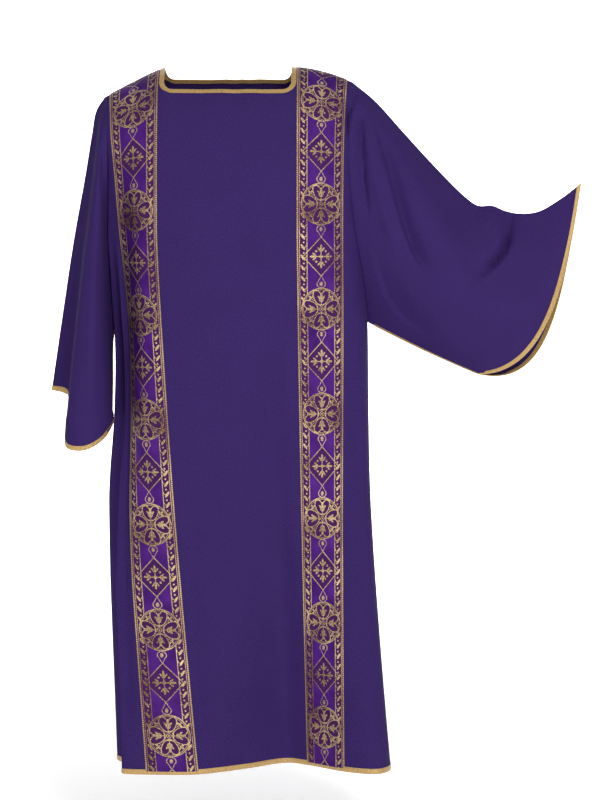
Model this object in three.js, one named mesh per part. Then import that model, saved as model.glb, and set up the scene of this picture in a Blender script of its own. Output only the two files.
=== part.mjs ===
// A dalmatic, worn: a wide tunic of plain purple cloth with two woven galloons and gold bias bindings.
// Millimetres, +Z up. The origin is on the shoulder line at the middle of the neck, the front faces -Y
// and the wearer's left is +X. The left sleeve is held out and the right sleeve hangs.
//
// A place on a panel is given by the flat cut: "across" is the distance from the centre line and
// "drop" is the distance below the shoulder line. Each panel is wrapped round a general figure.
import * as THREE from 'three';

// ---- cloth ----
const CLOTH_WALL = 1.8;
const GALLOON_WALL = 1.0;
const BINDING_WALL = 1.0;
const SEAM_GAP = 0.3;
const LAID_GAP = 0.3;
const FOLDED_GAP = 1.0;

// ---- cut ----
const LENGTH = 1250;
const NECK = { half: 115, frontDrop: 44, backDrop: 20, corner: 16 };
const GALLOON = { inner: 124, outer: 214 };
const BINDING_WIDTH = 8;
const BINDING_FACET = 9.2;
const SEAM_AT_SHOULDER = 224;
const SEAM_AT_UNDERARM = 330;
const SEAM_AT_HEM = 445;
const UNDERARM_DROP = 460;
const ARMHOLE_CURVE = 3;

// ---- general figure under the cloth ----
const SHOULDER = {
  left: { fall: 27, curve: 1.8 },
  right: { fall: 54, curve: 1.1 },
};
const SHOULDER_FADE = 300;
const FRONT = { depth: 130, reach: 60 };
const BACK = { depth: 113, reach: 62 };
const SHOULDER_ROUND = 0.8;
const GIRTH_SQUARENESS = 2.4;

// Side reach of the wrapped cloth, from the centre line, at each drop.
const GIRTH = [
  { drop: 0, right: 250, left: 250 },
  { drop: 215, right: 243, left: 243 },
  { drop: 460, right: 205, left: 248 },
  { drop: 620, right: 205, left: 243 },
  { drop: 800, right: 229, left: 235 },
  { drop: 1250, right: 230, left: 230 },
];

// Folds round the hem, one row for each ridge, trough or corner, at their places in the cut.
const HEM_FOLDS_FROM = 300;
const HEM_FOLD_GROWTH = 1.3;
const FRONT_HEM = [
  { across: -445, x: -186, y: 4 },
  { across: -398, x: -200, y: -45 },
  { across: -325, x: -152, y: -108 },
  { across: -258, x: -184, y: -160 },
  { across: -214, x: -141, y: -170 },
  { across: -124, x: -49, y: -168 },
  { across: -30, x: 34, y: -120 },
  { across: 56, x: 102, y: -70 },
  { across: 124, x: 143, y: -88 },
  { across: 214, x: 209, y: -145 },
  { across: 276, x: 265, y: -165 },
  { across: 330, x: 290, y: -125 },
  { across: 445, x: 280, y: 4 },
];
const BACK_HEM = [
  { across: -445, x: -186, y: 4 },
  { across: -385, x: -164, y: 60 },
  { across: -300, x: -196, y: 128 },
  { across: -214, x: -138, y: 132 },
  { across: -124, x: -62, y: 168 },
  { across: -30, x: 6, y: 122 },
  { across: 60, x: 82, y: 166 },
  { across: 124, x: 140, y: 150 },
  { across: 214, x: 206, y: 112 },
  { across: 290, x: 262, y: 150 },
  { across: 370, x: 292, y: 78 },
  { across: 445, x: 280, y: 4 },
];

// ---- sleeves ----
// Each line runs from the armhole to the cuff; each edge runs from the top of the cuff to the tack,
// where the underside seam ends and the front and back cuff edges part.
const LEFT_SLEEVE = {
  topLine: [
    [264, 0, -60], [315, 0, -116], [371, 0, -177], [426, 2, -231], [472, 3, -254],
    [519, 2, -264], [560, 0, -261], [601, 0, -238], [638, 0, -210],
  ],
  underLine: [[315, 0, -492], [371, 0, -519], [411, 0, -537], [453, 0, -555]],
  frontBelly: 26,
  backBelly: 30,
  frontCuff: { corner: [603, -64, -415], turn: [565, -24, -553] },
  backCuff: { corner: [610, 68, -430], turn: [585, 30, -585] },
};
const RIGHT_SLEEVE = {
  topLine: [
    [-239, 0, -78], [-247, 0, -120], [-259, 0, -193], [-281, 0, -315], [-300, 2, -437],
    [-322, 5, -584],
  ],
  underLine: [[-209, -1, -500], [-214, -3, -570], [-217, -5, -632]],
  frontBelly: 20,
  backBelly: 16,
  frontCuff: [
    [-322, 5, -584], [-288, -26, -592], [-291, -76, -652], [-286, -106, -680], [-258, -118, -686],
    [-226, -104, -672], [-211, -62, -648], [-217, -5, -632],
  ],
  backCuff: [
    [-322, 5, -584], [-319, 50, -588], [-302, 96, -598], [-266, 118, -626], [-234, 96, -648],
    [-219, 46, -644], [-217, -5, -632],
  ],
};

// ---- grid of the facets ----
const ROWS_TO_UNDERARM = [0, 14, 30, 44, 56, 84, 122, 170, 225, 285, 345, 405, 460];
const ROWS_BELOW = [530, 620, 720, 830, 940, 1050, 1150, LENGTH - BINDING_FACET, LENGTH];
const BACK_ROWS_TO_UNDERARM = [0, 9, 20, 32, 52, 84, 122, 170, 225, 285, 345, 405, 460];
const NECK_COLUMNS = [0, 40, 75, 99, 115];
const GALLOON_COLUMNS = [124, 169, 214];
const SIDE_COLUMNS = 5;
const UNDERARM_BINDING_FROM = 2;
const SLEEVE_STEPS = [0, 0.08, 0.18, 0.3, 0.42, 0.54, 0.66, 0.78, 0.89, 1];

const lerp = THREE.MathUtils.lerp;

function material(name, colour, roughness, metalness) {
  return new THREE.MeshStandardMaterial({ name, color: colour, roughness, metalness });
}

const PURPLE = () => material('purple_cloth', 0x3e2869, 0.85, 0);
const BROCADE = () => material('galloon', 0x8a6a4a, 0.5, 0.2);
const GOLD = () => material('gold_binding', 0xb8925a, 0.35, 0.3);

// ---- smooth curves through short tables ----
function tableValue(rows, key, column, at) {
  const next = rows.findIndex((row) => row[key] >= at);
  if (next === 0) return rows[0][column];
  if (next < 0) return rows[rows.length - 1][column];
  const before = rows[next - 1];
  const after = rows[next];
  const part = (at - before[key]) / (after[key] - before[key]);
  const slope = (i) => {
    const low = rows[Math.max(i - 1, 0)];
    const high = rows[Math.min(i + 1, rows.length - 1)];
    return (high[column] - low[column]) / (high[key] - low[key]);
  };
  const run = after[key] - before[key];
  const cube = part * part * (3 - 2 * part);
  const leave = part * (1 - part) ** 2 * run * slope(next - 1);
  const arrive = part * part * (1 - part) * run * slope(next);
  return lerp(before[column], after[column], cube) + leave - arrive;
}

function smoothLine(points) {
  return new THREE.CatmullRomCurve3(points.map((p) => new THREE.Vector3(...p)), false, 'centripetal');
}

// ---- body: the cut wrapped round the figure ----
function shoulderHeight(x) {
  const side = x > 0 ? SHOULDER.left : SHOULDER.right;
  const out = Math.max(0, Math.abs(x) - NECK.half) / (SEAM_AT_SHOULDER - NECK.half);
  return -side.fall * out ** side.curve;
}

function seamAcross(drop) {
  if (drop < UNDERARM_DROP) {
    const down = (drop / UNDERARM_DROP) ** ARMHOLE_CURVE;
    return lerp(SEAM_AT_SHOULDER, SEAM_AT_UNDERARM, down);
  }
  return lerp(SEAM_AT_UNDERARM, SEAM_AT_HEM, (drop - UNDERARM_DROP) / (LENGTH - UNDERARM_DROP));
}

// A quarter of the girth as a superellipse, walked by its length.
function girthPoint(halfWidth, depth, length) {
  const steps = 90;
  let last = new THREE.Vector2(0, depth);
  let walked = 0;
  for (let i = 1; i <= steps; i += 1) {
    const angle = (i / steps) * (Math.PI / 2);
    const x = halfWidth * Math.sin(angle) ** (2 / GIRTH_SQUARENESS);
    const y = depth * Math.cos(angle) ** (2 / GIRTH_SQUARENESS);
    const point = new THREE.Vector2(x, i === steps ? 0 : y);
    const step = point.distanceTo(last);
    if (walked + step >= length) return last.lerp(point, (length - walked) / step);
    walked += step;
    last = point;
  }
  return last;
}

function girthLength(halfWidth, depth) {
  const steps = 90;
  let length = 0;
  let last = new THREE.Vector2(0, depth);
  for (let i = 1; i <= steps; i += 1) {
    const angle = (i / steps) * (Math.PI / 2);
    const x = halfWidth * Math.sin(angle) ** (2 / GIRTH_SQUARENESS);
    const y = i === steps ? 0 : depth * Math.cos(angle) ** (2 / GIRTH_SQUARENESS);
    const point = new THREE.Vector2(x, y);
    length += point.distanceTo(last);
    last = point;
  }
  return length;
}

function bodyPoint(face, across, drop) {
  const figure = face === 'front' ? FRONT : BACK;
  const side = across < 0 ? -1 : 1;
  const out = Math.abs(across);
  const depth = figure.depth * (1 - Math.exp(-((drop / figure.reach) ** SHOULDER_ROUND)));
  const reach = tableValue(GIRTH, 'drop', side < 0 ? 'right' : 'left', drop);
  const quarter = girthLength(reach, depth);
  const sideLine = Math.max(seamAcross(drop), SEAM_AT_UNDERARM);
  const beyond = Math.max(0, out - GALLOON.outer) / (sideLine - GALLOON.outer);
  const length = out <= GALLOON.outer ? out : lerp(GALLOON.outer, quarter, beyond);
  const girth = girthPoint(reach, depth, drop === 0 ? out : length);
  const towards = face === 'front' ? -1 : 1;
  const point = new THREE.Vector3(side * girth.x, towards * girth.y, 0);
  if (drop > HEM_FOLDS_FROM) {
    const grown = ((drop - HEM_FOLDS_FROM) / (LENGTH - HEM_FOLDS_FROM)) ** HEM_FOLD_GROWTH;
    const table = face === 'front' ? FRONT_HEM : BACK_HEM;
    const sidePart = Math.max(0, out - GALLOON.outer) / (seamAcross(drop) - GALLOON.outer);
    const hemOut = Math.min(out, GALLOON.outer) + sidePart * (SEAM_AT_HEM - GALLOON.outer);
    const hemX = tableValue(table, 'across', 'x', side * hemOut);
    const hemY = tableValue(table, 'across', 'y', side * hemOut);
    point.x = lerp(point.x, hemX, grown);
    point.y = lerp(point.y, hemY, grown);
  }
  const fade = Math.max(0, 1 - drop / SHOULDER_FADE) ** 2;
  point.z = shoulderHeight(point.x) * fade - drop;
  return point;
}

// ---- grids of mid-wall points: rows run down a panel or round a sleeve ----
function panelColumns(drop) {
  const seam = seamAcross(drop);
  const half = [...NECK_COLUMNS, ...GALLOON_COLUMNS];
  for (let i = 1; i <= SIDE_COLUMNS; i += 1) {
    half.push(lerp(GALLOON.outer, seam, i / SIDE_COLUMNS));
  }
  return [...half.slice(1).reverse().map((a) => -a), ...half];
}

// Rounds the lower corners of the square neckline.
function roundedNeck(across, drop, neckDrop) {
  const out = Math.abs(across);
  const cornerX = NECK.half - NECK.corner;
  const cornerDrop = neckDrop - NECK.corner;
  const onEdge = out <= NECK.half && drop <= neckDrop;
  if (!onEdge || out <= cornerX || drop <= cornerDrop) return [across, drop];
  const away = Math.hypot(out - cornerX, drop - cornerDrop);
  const scale = NECK.corner / away;
  return [Math.sign(across) * (cornerX + (out - cornerX) * scale), cornerDrop + (drop - cornerDrop) * scale];
}

function makePanel(face) {
  const neckDrop = face === 'front' ? NECK.frontDrop : NECK.backDrop;
  const drops = [...(face === 'front' ? ROWS_TO_UNDERARM : BACK_ROWS_TO_UNDERARM), ...ROWS_BELOW];
  const neckRow = drops.indexOf(neckDrop);
  const neckHalf = NECK_COLUMNS.length - 1;
  const middle = (panelColumns(0).length - 1) / 2;
  const points = drops.map((drop) => panelColumns(drop).map((across) => {
    const [a, d] = roundedNeck(across, drop, neckDrop);
    return bodyPoint(face, a, d);
  }));
  const open = (row, column) => row < neckRow && column >= middle - neckHalf && column < middle + neckHalf;
  return { points, open, neckRow, neckHalf, middle, flip: face === 'back' };
}

// A Coons patch between the armhole, the cuff, the top line and the underside.
function makeSleeve(sleeve, side, front, back) {
  const armholeRows = ROWS_TO_UNDERARM.length;
  const column = side === 'left' ? front.points[0].length - 1 : 0;
  const seamOf = (panel) => panel.points.slice(0, armholeRows).map((row) => row[column]);
  const top = smoothLine([seamOf(front)[0].toArray(), ...sleeve.topLine]);
  const under = smoothLine([seamOf(front)[armholeRows - 1].toArray(), ...sleeve.underLine]);
  const cuffTop = sleeve.topLine[sleeve.topLine.length - 1];
  const tack = sleeve.underLine[sleeve.underLine.length - 1];
  const cuffLine = (edge) => (Array.isArray(edge)
    ? smoothLine(edge)
    : new THREE.CubicBezierCurve3(
      new THREE.Vector3(...cuffTop),
      new THREE.Vector3(...edge.corner),
      new THREE.Vector3(...edge.turn),
      new THREE.Vector3(...tack),
    ));
  const layer = (panel, edge, belly) => {
    const seam = seamOf(panel);
    const cuff = cuffLine(edge);
    return SLEEVE_STEPS.map((s) => seam.map((seamPoint, i) => {
      const h = i / (armholeRows - 1);
      const point = seamPoint.clone().multiplyScalar(1 - s).addScaledVector(cuff.getPoint(h), s);
      point.addScaledVector(top.getPointAt(s), 1 - h).addScaledVector(under.getPointAt(s), h);
      point.addScaledVector(seam[0], -(1 - s) * (1 - h)).addScaledVector(seam[armholeRows - 1], -(1 - s) * h);
      point.addScaledVector(cuff.getPoint(0), -s * (1 - h)).addScaledVector(cuff.getPoint(1), -s * h);
      point.y += belly * Math.sin(Math.PI * h) ** 0.75 * Math.sin(Math.PI * s) ** 0.75;
      return point;
    }));
  };
  const frontLayer = layer(front, sleeve.frontCuff, -sleeve.frontBelly);
  const backLayer = layer(back, sleeve.backCuff, sleeve.backBelly);
  const points = frontLayer.map((row, s) => [...[...row].reverse(), ...backLayer[s].slice(1)]);
  const cuffRow = points.pop();
  const besideCuff = points[points.length - 1];
  points.push(cuffRow.map((point, c) => pulled(point, besideCuff[c], BINDING_FACET)), cuffRow);
  return { points, open: () => false, closed: true, flip: side === 'right' };
}

// ---- the wall: normals shared along every seam, then an inside and an outside skin ----
const keyOf = (point) => point.toArray().map((value) => Math.round(value * 50)).join(',');

function addNormals(grid, sums) {
  const { points, open, flip } = grid;
  for (let r = 0; r < points.length - 1; r += 1) {
    for (let c = 0; c < points[r].length - 1; c += 1) {
      if (open(r, c)) continue;
      const corners = [points[r][c], points[r + 1][c], points[r + 1][c + 1], points[r][c + 1]];
      const across = corners[2].clone().sub(corners[0]);
      const down = corners[1].clone().sub(corners[3]);
      const normal = down.cross(across).normalize().multiplyScalar(flip ? -1 : 1);
      for (const corner of corners) {
        const key = keyOf(corner);
        if (!sums.has(key)) sums.set(key, new THREE.Vector3());
        sums.get(key).add(normal);
      }
    }
  }
}

function skin(grid, offset) {
  return grid.points.map((row, r) => row.map((point, c) => point.clone()
    .addScaledVector(grid.normals[r][c], offset)));
}

// Joins an inside and an outside skin of quads into one closed body.
function wallGeometry(inside, outside, open = () => false, closed = false) {
  const vertices = [];
  const indices = [];
  const ids = new Map();
  const idOf = (skinName, points, r, c) => {
    const wrapped = closed && c === points[r].length - 1 ? 0 : c;
    const key = `${skinName},${r},${wrapped}`;
    if (!ids.has(key)) {
      ids.set(key, vertices.length / 3);
      vertices.push(...points[r][wrapped].toArray());
    }
    return ids.get(key);
  };
  const quad = (a, b, c, d) => indices.push(a, b, c, a, c, d);
  // A rim is split from its higher outside corner, as the rim of the next piece at the seam is.
  const rank = (id) => vertices[id * 3 + 2] + 0.37 * vertices[id * 3] + 0.11 * vertices[id * 3 + 1];
  const rim = (a, b, c, d) => (rank(a) > rank(b) ? quad(a, b, c, d) : quad(b, c, d, a));
  const rows = inside.length - 1;
  const columns = inside[0].length - 1;
  const solid = (r, c) => r >= 0 && r < rows && (closed || (c >= 0 && c < columns)) && !open(r, c);
  const out = (r, c) => idOf('out', outside, r, c);
  const inn = (r, c) => idOf('in', inside, r, c);
  for (let r = 0; r < rows; r += 1) {
    for (let c = 0; c < columns; c += 1) {
      if (!solid(r, c)) continue;
      quad(out(r, c), out(r + 1, c), out(r + 1, c + 1), out(r, c + 1));
      quad(inn(r, c), inn(r, c + 1), inn(r + 1, c + 1), inn(r + 1, c));
      if (!solid(r - 1, c)) rim(out(r, c), out(r, c + 1), inn(r, c + 1), inn(r, c));
      if (!solid(r + 1, c)) rim(out(r + 1, c + 1), out(r + 1, c), inn(r + 1, c), inn(r + 1, c + 1));
      if (!solid(r, c - 1)) rim(out(r + 1, c), out(r, c), inn(r, c), inn(r + 1, c));
      if (!solid(r, c + 1)) rim(out(r, c + 1), out(r + 1, c + 1), inn(r + 1, c + 1), inn(r, c + 1));
    }
  }
  return facingOut(vertices, indices);
}

function facingOut(vertices, indices) {
  let volume = 0;
  const corner = (i) => new THREE.Vector3().fromArray(vertices, indices[i] * 3);
  for (let i = 0; i < indices.length; i += 3) {
    volume += corner(i).dot(corner(i + 1).cross(corner(i + 2)));
  }
  const ordered = volume < 0 ? indices.slice().reverse() : indices;
  const geometry = new THREE.BufferGeometry();
  geometry.setAttribute('position', new THREE.Float32BufferAttribute(vertices, 3));
  geometry.setIndex(ordered);
  geometry.computeVertexNormals();
  return geometry;
}

function pulled(point, towards, distance) {
  const along = towards.clone().sub(point);
  return point.clone().addScaledVector(along, distance / along.length());
}

// Draws the seam edges of a grid back by half the seam gap.
function seamsEased(skinPoints, edges) {
  const eased = skinPoints.map((row) => [...row]);
  const last = skinPoints[0].length - 1;
  const ease = SEAM_GAP * 0.7;
  for (let r = 0; r < eased.length; r += 1) {
    if (edges.includes('sides')) {
      eased[r][0] = pulled(eased[r][0], eased[r][1], ease);
      eased[r][last] = pulled(eased[r][last], eased[r][last - 1], ease);
    }
  }
  if (edges.includes('top')) {
    const nextRow = eased[1];
    eased[0] = eased[0].map((point, c) => pulled(point, nextRow[c], ease));
  }
  return eased;
}

const garment = new THREE.Group();

function addPiece(name, geometry, material) {
  const mesh = new THREE.Mesh(geometry, material);
  mesh.name = name;
  garment.add(mesh);
}

function addCloth(name, grid, edges) {
  const inside = seamsEased(skin(grid, -CLOTH_WALL / 2), edges);
  const outside = seamsEased(skin(grid, CLOTH_WALL / 2), edges);
  addPiece(name, wallGeometry(inside, outside, grid.open, grid.closed), PURPLE());
}

const frontPanel = makePanel('front');
const backPanel = makePanel('back');
const leftSleeve = makeSleeve(LEFT_SLEEVE, 'left', frontPanel, backPanel);
const rightSleeve = makeSleeve(RIGHT_SLEEVE, 'right', frontPanel, backPanel);
const cloths = [frontPanel, backPanel, leftSleeve, rightSleeve];

const normalSums = new Map();
for (const grid of cloths) addNormals(grid, normalSums);
for (const grid of cloths) {
  grid.normals = grid.points.map((row) => row.map((point) => {
    const sum = normalSums.get(keyOf(point)) ?? new THREE.Vector3(0, 0, 1);
    return sum.clone().normalize();
  }));
}

addCloth('front_panel', frontPanel, ['sides', 'top']);
addCloth('back_panel', backPanel, ['sides', 'top']);
addCloth('sleeve_left', leftSleeve, ['top']);
addCloth('sleeve_right', rightSleeve, ['top']);

// ---- galloons: laid on the panels from the shoulder to the hem binding ----
function addGalloon(name, panel, side) {
  const first = NECK_COLUMNS.length;
  const columns = GALLOON_COLUMNS.map((_, i) => panel.middle + side * (first + i)).sort((a, b) => a - b);
  const rows = panel.points.length - 1;
  const pick = (points) => points.slice(0, rows).map((row) => columns.map((c) => row[c]));
  const laid = { points: pick(panel.points), normals: pick(panel.normals) };
  const lower = CLOTH_WALL / 2 + LAID_GAP;
  const inside = seamsEased(skin(laid, lower), ['top']);
  const outside = seamsEased(skin(laid, lower + GALLOON_WALL), ['top']);
  addPiece(name, wallGeometry(inside, outside), BROCADE());
}

addGalloon('galloon_left_front', frontPanel, 1);
addGalloon('galloon_left_back', backPanel, 1);
addGalloon('galloon_right_front', frontPanel, -1);
addGalloon('galloon_right_back', backPanel, -1);

// ---- bindings: folded over an edge, from the edge points and the points next to them ----
function edgeStation(grid, edge, inner) {
  return {
    edge: grid.points[edge[0]][edge[1]],
    inner: grid.points[inner[0]][inner[1]],
    edgeNormal: grid.normals[edge[0]][edge[1]],
    innerNormal: grid.normals[inner[0]][inner[1]],
  };
}

function bindingRow(station, wrap) {
  const { edge, inner, edgeNormal, innerNormal } = station;
  const reach = inner.distanceTo(edge);
  const at = (inward, offset) => {
    const part = inward / reach;
    const normal = edgeNormal.clone().lerp(innerNormal, Math.max(0, part)).normalize();
    return edge.clone().lerp(inner, part).addScaledVector(normal, offset);
  };
  return [at(BINDING_WIDTH, wrap), at(-wrap + CLOTH_WALL / 2, wrap), at(-wrap + CLOTH_WALL / 2, -wrap),
    at(BINDING_WIDTH, -wrap)];
}

function addBinding(name, stations, closed) {
  const across = (wrap) => {
    const rows = stations.map((station) => bindingRow(station, wrap));
    if (closed) rows.push(rows[0]);
    return rows;
  };
  const turned = (rows) => rows[0].map((_, c) => rows.map((row) => row[c]));
  const lower = CLOTH_WALL / 2 + FOLDED_GAP;
  const geometry = wallGeometry(turned(across(lower)), turned(across(lower + BINDING_WALL)), undefined, closed);
  addPiece(name, geometry, GOLD());
}

function neckStations(panel) {
  const left = panel.middle + panel.neckHalf;
  const right = panel.middle - panel.neckHalf;
  const bottom = panel.neckRow;
  const stations = [];
  for (let r = 0; r < bottom; r += 1) stations.push(edgeStation(panel, [r, right], [r, right - 1]));
  stations.push(edgeStation(panel, [bottom, right], [bottom + 1, right - 1]));
  for (let c = right + 1; c < left; c += 1) stations.push(edgeStation(panel, [bottom, c], [bottom + 1, c]));
  stations.push(edgeStation(panel, [bottom, left], [bottom + 1, left + 1]));
  for (let r = bottom - 1; r >= 0; r -= 1) stations.push(edgeStation(panel, [r, left], [r, left + 1]));
  return stations;
}

function hemStations(panel) {
  const last = panel.points.length - 1;
  return panel.points[last].map((_, c) => edgeStation(panel, [last, c], [last - 1, c]));
}

function cuffStations(sleeve) {
  const last = sleeve.points.length - 1;
  const stations = sleeve.points[last].map((_, c) => edgeStation(sleeve, [last, c], [last - 1, c]));
  const between = (a, b) => ({
    edge: a.edge.clone().lerp(b.edge, 0.5),
    inner: a.inner.clone().lerp(b.inner, 0.5),
    edgeNormal: a.edgeNormal.clone().lerp(b.edgeNormal, 0.5).normalize(),
    innerNormal: a.innerNormal.clone().lerp(b.innerNormal, 0.5).normalize(),
  });
  const end = stations.length - 1;
  return [between(stations[0], stations[1]), ...stations.slice(1, end), between(stations[end - 1], stations[end])];
}

const frontNeck = neckStations(frontPanel);
const backNeck = neckStations(backPanel).reverse();
addBinding('neck_binding', [...frontNeck, ...backNeck.slice(1, -1)], true);
const frontHem = hemStations(frontPanel);
const backHem = hemStations(backPanel).reverse();
addBinding('hem_binding', [...frontHem, ...backHem.slice(1, -1)], true);
addBinding('cuff_binding_left', cuffStations(leftSleeve), false);
addBinding('cuff_binding_right', cuffStations(rightSleeve), false);

// ---- underarm bindings: a narrow strip round the sewn underside of each sleeve ----
function addUnderarmBinding(name, sleeve) {
  const last = sleeve.points[0].length - 1;
  const rows = sleeve.points.map((_, r) => r).slice(UNDERARM_BINDING_FROM, -1);
  const strip = rows.map((r) => {
    const at = (c, part) => sleeve.points[r][0].clone().lerp(sleeve.points[r][c], part);
    const normalAt = (c, part) => sleeve.normals[r][0].clone().lerp(sleeve.normals[r][c], part).normalize();
    const partOf = (c) => (BINDING_WIDTH / 2) / sleeve.points[r][0].distanceTo(sleeve.points[r][c]);
    return [1, 0, last - 1].map((c) => (c === 0
      ? { point: sleeve.points[r][0], normal: sleeve.normals[r][0] }
      : { point: at(c, partOf(c)), normal: normalAt(c, partOf(c)) }));
  });
  const laid = {
    points: strip.map((row) => row.map((place) => place.point)),
    normals: strip.map((row) => row.map((place) => place.normal)),
  };
  const lower = CLOTH_WALL / 2 + FOLDED_GAP;
  addPiece(name, wallGeometry(skin(laid, lower), skin(laid, lower + BINDING_WALL)), GOLD());
}

addUnderarmBinding('underarm_binding_left', leftSleeve);
addUnderarmBinding('underarm_binding_right', rightSleeve);

export default garment;
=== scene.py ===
import bpy
import numpy as np
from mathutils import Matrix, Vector


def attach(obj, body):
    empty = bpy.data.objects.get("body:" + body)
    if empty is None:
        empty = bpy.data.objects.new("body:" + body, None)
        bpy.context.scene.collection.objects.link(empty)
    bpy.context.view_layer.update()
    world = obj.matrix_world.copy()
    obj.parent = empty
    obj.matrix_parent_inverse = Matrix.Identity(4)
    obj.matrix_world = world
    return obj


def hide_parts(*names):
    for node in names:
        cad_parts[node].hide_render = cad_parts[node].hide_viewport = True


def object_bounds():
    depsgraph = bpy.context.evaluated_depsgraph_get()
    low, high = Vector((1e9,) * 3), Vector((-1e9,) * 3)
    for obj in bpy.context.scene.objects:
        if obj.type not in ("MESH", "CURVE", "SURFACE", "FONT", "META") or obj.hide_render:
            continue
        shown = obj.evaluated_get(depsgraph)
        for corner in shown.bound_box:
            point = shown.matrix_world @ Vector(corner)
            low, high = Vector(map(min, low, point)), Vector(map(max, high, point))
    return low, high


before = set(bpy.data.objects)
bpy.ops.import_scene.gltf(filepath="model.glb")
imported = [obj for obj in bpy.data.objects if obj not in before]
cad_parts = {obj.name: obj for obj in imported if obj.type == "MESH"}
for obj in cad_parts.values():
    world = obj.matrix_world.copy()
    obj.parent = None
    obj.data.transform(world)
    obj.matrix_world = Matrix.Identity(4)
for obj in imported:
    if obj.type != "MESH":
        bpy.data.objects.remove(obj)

# A worn dalmatic: plain purple cloth, two woven galloons and gold bias bindings.
# Metres, +Z up; the front faces -Y and the wearer's left is +X, as in the frame.
# Across, along and reach inside the node groups are in millimetres.

CAD_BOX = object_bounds()
bpy.ops.object.select_all(action="DESELECT")

# ------------------------------------------------------------------ camera, light and stage
CAMERA_DISTANCE = 4.6
CAMERA_HEIGHT = -0.30
VIEW_CENTRE = Vector((0.141, 0.0, -0.602))
VIEW_HEIGHT = 1.452
CAMERA_SHIFT = 0.10
SENSOR = 36.0
FLOOR_BELOW_HEM = 0.13


def make_camera():
    camera = bpy.data.cameras.new("camera")
    holder = bpy.data.objects.new("camera", camera)
    bpy.context.scene.collection.objects.link(holder)
    place = Vector((VIEW_CENTRE.x, -CAMERA_DISTANCE, CAMERA_HEIGHT))
    away = VIEW_CENTRE + Vector((0, 0, CAMERA_SHIFT * VIEW_HEIGHT)) - place
    camera.sensor_fit = "VERTICAL"
    camera.sensor_height = SENSOR
    camera.lens = SENSOR * away.length / VIEW_HEIGHT
    camera.shift_y = -CAMERA_SHIFT
    camera.clip_end = 60
    holder.location = place
    holder.rotation_euler = away.to_track_quat("-Z", "Y").to_euler()
    bpy.context.scene.camera = holder


def area_light(name, place, target, size, watts):
    light = bpy.data.lights.new(name, "AREA")
    light.shape = "SQUARE"
    light.size = size
    light.energy = watts
    holder = bpy.data.objects.new(name, light)
    bpy.context.scene.collection.objects.link(holder)
    holder.location = place
    holder.rotation_euler = (Vector(target) - Vector(place)).to_track_quat("-Z", "Y").to_euler()


def make_stage():
    """A pale sweep: a floor that curves up into a wall behind the garment."""
    floor = CAD_BOX[0][2] - FLOOR_BELOW_HEM
    radius, depth, wall, half = 2.5, 8.5, 7.0, 14.0
    profile = [(-9.0, floor), (depth - radius, floor)]
    for step in range(1, 13):
        angle = step / 12 * np.pi / 2
        profile.append((depth - radius + radius * np.sin(angle), floor + radius * (1 - np.cos(angle))))
    profile.append((depth, floor + wall))
    points = [(side * half, y, z) for y, z in profile for side in (-1, 1)]
    faces = [(2 * i, 2 * i + 1, 2 * i + 3, 2 * i + 2) for i in range(len(profile) - 1)]
    mesh = bpy.data.meshes.new("sweep")
    mesh.from_pydata(points, [], faces)
    mesh.shade_smooth()
    sweep = bpy.data.objects.new("sweep", mesh)
    bpy.context.scene.collection.objects.link(sweep)
    paint = bpy.data.materials.new("sweep_paper")
    paint.use_nodes = True
    shader = paint.node_tree.nodes["Principled BSDF"]
    shader.inputs["Base Color"].default_value = (0.93, 0.93, 0.93, 1)
    shader.inputs["Roughness"].default_value = 0.9
    shader.inputs["Emission Color"].default_value = (1, 1, 1, 1)
    shader.inputs["Emission Strength"].default_value = 0.35
    mesh.materials.append(paint)


make_camera()
make_stage()
area_light("key", (1.5, -3.9, 1.7), (0.1, 0, -0.5), 1.3, 102)
area_light("fill", (-0.3, -4.9, -0.1), (0.1, 0, -0.7), 1.8, 48)
area_light("back_wash", (0.0, 4.6, 3.6), (0.0, 8.5, 0.0), 4.0, 700)
world = bpy.data.worlds.new("studio")
bpy.context.scene.world = world
world.use_nodes = True
world.node_tree.nodes["Background"].inputs["Color"].default_value = (1, 1, 1, 1)
world.node_tree.nodes["Background"].inputs["Strength"].default_value = 0.36
bpy.context.scene.view_settings.view_transform = "Standard"

# ------------------------------------------------------------------ sizes
MM = 0.001
CLOTH_WALL = 1.1 * MM
GALLOON_WALL = 0.8 * MM
LAID_GAP = 0.15 * MM
SEAM_EASE = 0.03 * MM

SMOOTH_UP_TO_DEGREES = 50
SLEEVE_CUT_LENGTH = 0.56
LENGTH = 1.250
NECK_HALF = 0.115
NECK_DROP = {"front": 0.044, "back": 0.020}
NECK_CORNER = 0.016
GALLOON_OUTER = 0.214
BINDING_WIDTH = 0.008
SEAM_AT_SHOULDER = 0.224
SEAM_AT_UNDERARM = 0.330
SEAM_AT_HEM = 0.445
UNDERARM_DROP = 0.460
ARMHOLE_CURVE = 3

SHOULDER = {1: {"fall": 0.027, "curve": 1.8}, -1: {"fall": 0.054, "curve": 1.1}}
SHOULDER_FADE = 0.300
FIGURE = {
    "front": {"depth": 0.130, "reach": 0.060},
    "back": {"depth": 0.113, "reach": 0.062},
}
SHOULDER_ROUND = 0.8
GIRTH_SQUARENESS = 2.4

# Side reach of the wrapped cloth at each drop, in millimetres.
GIRTH = {
    "drop": [0, 215, 460, 620, 800, 1250],
    "right": [250, 243, 209, 209.5, 229, 230],
    "left": [250, 243, 248, 243, 235, 230],
}

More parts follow.
